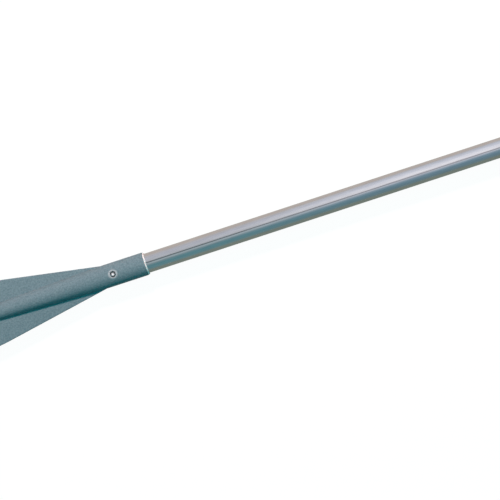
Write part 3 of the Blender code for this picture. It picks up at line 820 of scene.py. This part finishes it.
slitLength, slitHeight = collar["slitCut"]
lugs = blockSurface((collar["lugLength"], lugSide * 2, collar["lugTop"] - lugLow),
                    (lugX, 0, axisZ + (collar["lugTop"] + lugLow) / 2), collar["lugRound"])
slit = blockSurface((slitLength, collar["slit"], slitHeight),
                    (faceX - collar["slitBack"], 0, axisZ + collar["slitLift"]), fit["cutEdge"], steps=1)
screwHole = cylinderSurface(collar["screwHole"], -collar["holeHalf"], collar["holeHalf"], collar["holeSides"],
                            **onScrew)
collarPiece = addPiece("rowlockCollar", collarSurface())
carve(
    collarPiece,
    ("UNION", addPiece("clampLugs", lugs)),
    ("DIFFERENCE", addPiece("clampSlit", slit)),
    ("DIFFERENCE", addPiece("screwHole", screwHole)),
)
finishPiece(collarPiece, "darkMoulding", "collar", "rowlock_collar")

# Clamp screw, washer and nut, turned about the screw's axis. Heights run towards the head.
washer = {"radius": 0.005, "thickness": 0.001, "edge": 0.00018, "sides": 72}
nut = {"flats": 0.008, "thickness": 0.004, "rows": 17, "coneStart": 0.99, "coneSlope": 1.7,
       "boreBevel": 0.0004, "sides": 72}
screw = {
    "shank": 0.0025,
    "pastNut": 0.002,
    "head": 0.0043,
    "headHeight": 0.003,
    "headTop": 0.86,  # the head's flat top, as a share of its radius
    "headSide": 0.0012,
    "headRounds": (0.0008, 0.0006, 0.0002, 0.0001),  # from the top down to the neck
    "neck": 0.003,
    "slotWidth": 0.0011,
    "slotDepth": 0.0014,
    "slotLength": 0.012,
    "pitch": 0.0008,
    "threadDepth": 0.0003,
    "threadLength": 0.0095,
    "threadStart": 0.0004,
    "threadSlope": 2.6,
    "threadCrest": 0.15,
    "threadRows": 110,
    "endShare": 0.80,
    "sides": 72,
}
screwBore = screw["shank"] + fit["gap"]
washerLow = lugSide + fit["gap"]
washerHigh = washerLow + washer["thickness"]
headLow = washerHigh + fit["gap"]
headHigh = headLow + screw["headHeight"]
nutHigh = -lugSide - fit["gap"]
nutLow = nutHigh - nut["thickness"]
shankLow = nutLow - screw["pastNut"]


def screwSurface():
    # the thread's radius falls from crest to root and back once per pitch, its phase moves on with the turn,
    # and it fades in over its first pitch; head and neck come from a profile
    turn = turnAngles(screw["sides"])
    shank, wide = screw["shank"], screw["head"]
    head = roundCorners(
        [(0, headHigh), (wide * screw["headTop"], headHigh), (wide, headLow + screw["headSide"]),
         (wide, headLow), (shank, headLow), (shank, headLow - screw["neck"])],
        [0, *screw["headRounds"], 0], steps=6, closed=False)
    height = np.linspace(shankLow + screw["threadLength"], shankLow + screw["threadStart"],
                         screw["threadRows"])
    phase = (height[:, None] / screw["pitch"] - turn[None, :] / (2 * np.pi)) % 1
    fade = np.clip((height[0] - height) / screw["pitch"], 0, 1)[:, None]
    depth = np.clip(np.abs(phase - 0.5) * screw["threadSlope"] - screw["threadCrest"], 0, 1)
    thread = shank - screw["threadDepth"] * fade * depth
    ends = np.array([shank * screw["endShare"], 0])
    radii = np.vstack([np.tile(head[:, :1], screw["sides"]), thread, np.tile(ends[:, None], screw["sides"])])
    heights = np.concatenate([head[:, 1], height, [shankLow, shankLow]])
    return turnedSurface(radii, heights, screw["sides"], **onScrew)


def washerSurface():
    # a closed profile turned round the screw's axis: a flat ring with rounded edges
    outer = washer["radius"]
    corners = [(outer, washerHigh), (outer, washerLow), (screwBore, washerLow), (screwBore, washerHigh)]
    profile = roundCorners(corners, washer["edge"], steps=4)
    return turnedProfile(profile, washer["sides"], closed=True, **onScrew)


def nutSurface():
    # six flats, cut back at both ends by a cone: the radius is the smaller of the flats' and the cone's
    turn = turnAngles(nut["sides"])
    flat = nut["flats"] / 2
    bevel = nut["boreBevel"]
    hexagon = flat / np.cos((turn + np.pi / 6) % (np.pi / 3) - np.pi / 6)
    height = np.linspace(nutLow, nutHigh, nut["rows"])
    cone = flat * nut["coneStart"] + np.minimum(height - nutLow, nutHigh - height) * nut["coneSlope"]
    outer = np.minimum(hexagon[None], cone[:, None])
    inner = np.array([screwBore + bevel, screwBore, screwBore, screwBore + bevel])
    innerHeights = np.array([nutHigh, nutHigh - bevel, nutLow + bevel, nutLow])
    radii = np.vstack([outer, np.tile(inner[:, None], nut["sides"])])
    return turnedSurface(radii, np.concatenate([height, innerHeights]), nut["sides"], closed=True, **onScrew)


screwPiece = addPiece("clampScrew", screwSurface())
slot = blockSurface((screw["slotLength"], screw["slotDepth"] * 2, screw["slotWidth"]),
                    screwPoint - acrossOar * headHigh, fit["cutEdge"], steps=1)
carve(screwPiece, ("DIFFERENCE", addPiece("screwSlot", slot)))
finishPiece(screwPiece, "turnedStainless", "collar", "collar_screw")
finishPiece(addPiece("clampWasher", washerSurface()), "turnedStainless", "collar",
            "collar_washer")
finishPiece(addPiece("clampNut", nutSurface()), "turnedStainless", "collar", "collar_nut",
            sharpAngle=20)
print("collar and clamp made")

# Camera: straight above, turned so that the oar lies as in the photograph
view = {"out": 0.1571, "side": -0.0295, "distance": 2.8, "turn": -18.12, "lens": 133.4, "sensor": 36.0,
        "clipEnd": 100.0}
target = np.array([mouthX + view["out"], view["side"], axisZ])
cameraData = bpy.data.cameras.new("camera")
cameraData.sensor_width = view["sensor"]
cameraData.lens = view["lens"]
cameraData.clip_end = view["clipEnd"]
camera = placeObject("camera", cameraData)
camera.location = target + upwards * view["distance"]
camera.rotation_euler = (0, 0, math.radians(view["turn"]))
bpy.context.scene.camera = camera
bpy.context.scene.view_settings.view_transform = "Standard"

# Soft lamps. The tilt is from straight above, positive towards +Y. A level is each channel's light on a face
# that looks at the lamp: 1 shows a colour as written.
lamps = {
    "key": {"tilt": 38, "distance": 3.2, "size": 0.25, "level": (1.175, 0.77, 0.74)},
    "fill": {"tilt": 4, "distance": 3.2, "size": 2.4, "level": (0.0, 0.26, 0.27)},
}
air = {"colour": (0.0, 0.12, 0.14)}


def addLamp(name, lamp):
    tilt = math.radians(lamp["tilt"])
    peak = max(lamp["level"])
    lampData = bpy.data.lights.new(name, "AREA")
    lampData.shape = "SQUARE"
    lampData.size = lamp["size"]
    lampData.color = [part / peak for part in lamp["level"]]
    lampData.energy = math.pi ** 2 * lamp["distance"] ** 2 * peak
    lampObject = placeObject(name, lampData)
    lampObject.location = target + lamp["distance"] * np.array([0, math.sin(tilt), math.cos(tilt)])
    lampObject.rotation_euler = (-tilt, 0, 0)
    lampObject.visible_glossy = False
    lampObject.visible_camera = False


def backgroundRays(tree):
    # 1 for rays from the camera, off gloss or through glass, which see the white background
    path = addNode(tree, "ShaderNodeLightPath")
    seen = path.outputs["Is Camera Ray"]
    for other in ("Is Glossy Ray", "Is Transmission Ray"):
        seen = calculate(tree, "MAXIMUM", seen, path.outputs[other])
    return seen


def mixShaders(tree, output, share, first, second):
    # the output goes from the first shader to the second as the share goes from 0 to 1
    mix = addNode(tree, "ShaderNodeMixShader", {"Fac": share, 1: first, 2: second})
    addNode(tree, output, {"Surface": mix.outputs["Shader"]})


def emptyTree(owner):
    owner.use_nodes = True
    owner.node_tree.nodes.clear()
    return owner.node_tree


def addWorld():
    world = bpy.data.worlds.new("studio")
    tree = emptyTree(world)
    dim = addNode(tree, "ShaderNodeBackground", {"Color": (*air["colour"], 1), "Strength": 1.0})
    white = addNode(tree, "ShaderNodeBackground", {"Color": (1, 1, 1, 1), "Strength": 1.0})
    mixShaders(tree, "ShaderNodeOutputWorld", backgroundRays(tree), dim.outputs["Background"],
               white.outputs["Background"])
    bpy.context.scene.world = world


# Floor: a pale surface that takes shadows. The background's rays also see a white glow, which takes over from
# it altogether between the near and the far distance from the origin.
floor = {"half": 20.0, "colour": (0.36, 0.52, 0.53), "whiteShare": 0.86, "white": 1.12, "near": 1.0,
         "far": 2.4}
oneQuad = np.array([(0, 1, 2, 3)])
squareCorners = np.array([(-1, -1, 0), (1, -1, 0), (1, 1, 0), (-1, 1, 0)])


def paleFloor():
    paper = bpy.data.materials.new("paleFloor")
    tree = emptyTree(paper)
    diffuse = addNode(tree, "ShaderNodeBsdfDiffuse", {"Color": (*floor["colour"], 1)})
    glow = addNode(tree, "ShaderNodeEmission", {"Color": (1, 1, 1, 1), "Strength": floor["white"]})
    distance = addNode(tree, "ShaderNodeVectorMath", {0: objectPlace(tree)}, operation="LENGTH")
    spread = moveRange(tree, distance.outputs["Value"], floor["near"], floor["far"], floor["whiteShare"])
    share = calculate(tree, "MULTIPLY", backgroundRays(tree), spread)
    mixShaders(tree, "ShaderNodeOutputMaterial", share, diffuse.outputs["BSDF"], glow.outputs["Emission"])
    return paper


for name, lamp in lamps.items():
    addLamp(name, lamp)
addWorld()
floorObject = placeObject("floor", surfaceMesh("floor", floor["half"] * squareCorners, oneQuad))
floorObject.data.materials.append(paleFloor())


def reflectionCard(name, points, faces, emission):
    # a card that only shows in gloss, such as a studio's soft box and screens show in metal
    card = placeObject(name, surfaceMesh(name, points, faces))
    card.visible_camera = card.visible_diffuse = card.visible_shadow = False
    card.visible_transmission = card.visible_volume_scatter = False
    made = bpy.data.materials.new(name)
    emission(emptyTree(made))
    card.data.materials.append(made)


def emitLight(tree, colour):
    light = addNode(tree, "ShaderNodeEmission", {"Color": colour, "Strength": 1.0})
    addNode(tree, "ShaderNodeOutputMaterial", {"Surface": light.outputs["Emission"]})


def flatEmission(colour):
    return lambda tree: emitLight(tree, (*colour, 1))


# Tent: half a cylinder of light over the oar. Its light at the two ends is given by the angle from straight
# above in degrees, positive towards +Y. Towards the right end the pattern leans over by a few degrees.
tent = {
    "radius": 3.2,
    "half": 5.0,
    "tilt": 92,
    "steps": 93,
    "left": [
        (-90, (0.19, 0.28, 0.27)), (-70, (0.14, 0.28, 0.30)), (-48, (0.12, 0.28, 0.31)),
        (-32, (0.15, 0.29, 0.32)), (-20, (0.25, 0.34, 0.36)), (-12, (0.38, 0.48, 0.50)),
        (-2, (0.41, 0.50, 0.52)), (2, (0.13, 0.17, 0.18)), (10.5, (0.13, 0.17, 0.18)),
        (14, (0.45, 0.48, 0.50)), (24, (0.56, 0.585, 0.62)), (36, (0.57, 0.60, 0.64)),
        (56, (0.54, 0.56, 0.62)), (90, (0.58, 0.56, 0.55)),
    ],
    "right": [
        (-83, (0.19, 0.26, 0.25)), (-63, (0.16, 0.25, 0.29)), (-41, (0.17, 0.28, 0.34)),
        (-28, (0.20, 0.31, 0.38)), (-16, (0.32, 0.42, 0.49)), (-8, (0.50, 0.57, 0.64)),
        (-1, (0.66, 0.68, 0.74)), (3, (0.36, 0.37, 0.40)), (10.5, (0.38, 0.38, 0.41)),
        (14, (0.90, 0.89, 0.92)), (26, (1.00, 0.99, 1.02)), (40, (0.95, 0.96, 1.01)),
        (64, (0.74, 0.77, 0.85)), (90, (0.58, 0.60, 0.64)),
    ],
    "lean": 6.5,
    "leftOut": -0.07,
    "rightOut": 0.82,
    "endLight": (0.20, 0.24, 0.25),
    "endShare": 1.02,
}


def placeParts(tree):
    return addNode(tree, "ShaderNodeSeparateXYZ", {"Vector": objectPlace(tree)}).outputs


def shareAlong(tree, parts, card):
    # rises smoothly from 0 to 1 between two places along the oar
    return moveRange(tree, parts["X"], mouthX + card["leftOut"], mouthX + card["rightOut"],
                     interpolation_type="SMOOTHSTEP")


def tentEmission(tree):
    # the angle from straight above, leant over by the share along the oar, picks a colour from each end's
    # pattern, and the share mixes the two
    parts = placeParts(tree)
    share = shareAlong(tree, parts, tent)
    angle = calculate(tree, "ARCTAN2", parts["Y"], calculate(tree, "SUBTRACT", parts["Z"], axisZ))
    leant = calculate(tree, "MULTIPLY_ADD", share, math.radians(tent["lean"]), angle)
    place = moveRange(tree, leant, -math.pi / 2, math.pi / 2)
    left, right = ([((tilt + 90) / 180, colour) for tilt, colour in tent[end]] for end in ("left", "right"))
    emitLight(tree, mixColours(tree, share, rampColour(tree, place, left), rampColour(tree, place, right)))


tilts = np.radians(np.linspace(-tent["tilt"], tent["tilt"], tent["steps"]))
arc = np.stack([np.zeros(len(tilts)), np.sin(tilts), np.cos(tilts)], axis=1) * tent["radius"] + axisPoint
ends = np.array([-tent["half"], tent["half"]])[:, None, None] * alongOar
reflectionCard("tent", arc[None] + ends, gridFaces(2, len(tilts)), tentEmission)

# Low cards beside the oar, for the lowest part of the reflections. The one on the shade side turns teal
# beside the blade.
lowCards = {"far": 3.0, "height": 0.0008, "half": 5.0, "leftOut": -0.16, "rightOut": -0.02,
            "warm": (0.60, 0.54, 0.49), "teal": (0.04, 0.20, 0.215), "dull": (0.22, 0.26, 0.22)}


def shadeEmission(tree):
    share = shareAlong(tree, placeParts(tree), lowCards)
    emitLight(tree, mixColours(tree, share, (*lowCards["teal"], 1.0), (*lowCards["dull"], 1.0)))


for name, side, emission in (("warmCard", 1, flatEmission(lowCards["warm"])),
                             ("shadeCard", -1, shadeEmission)):
    half, far, height = lowCards["half"], side * lowCards["far"], lowCards["height"]
    points = np.array([(-half, 0, height), (half, 0, height), (half, far, height), (-half, far, height)])
    reflectionCard(name, points, oneQuad, emission)

# A small white card over the button, on the line that its top reflects to the camera
smallCard = {"height": 0.30, "half": 0.022, "light": (1.38, 1.30, 1.32)}
lean = (target - buttonPoint) / view["distance"]
cardCentre = buttonPoint + smallCard["height"] * np.array([-lean[0], -lean[1], 1])
reflectionCard("buttonCard", cardCentre + smallCard["half"] * squareCorners, oneQuad,
               flatEmission(smallCard["light"]))

# Dark ends to the tent
reach = tent["radius"] * tent["endShare"]
for name, x in (("leftEnd", -tent["half"]), ("rightEnd", tent["half"])):
    points = np.array([(x, -reach, 0), (x, reach, 0), (x, reach, reach + axisZ), (x, -reach, reach + axisZ)])
    reflectionCard(name, points, oneQuad, flatEmission(tent["endLight"]))
print("camera, lamps and stage made")
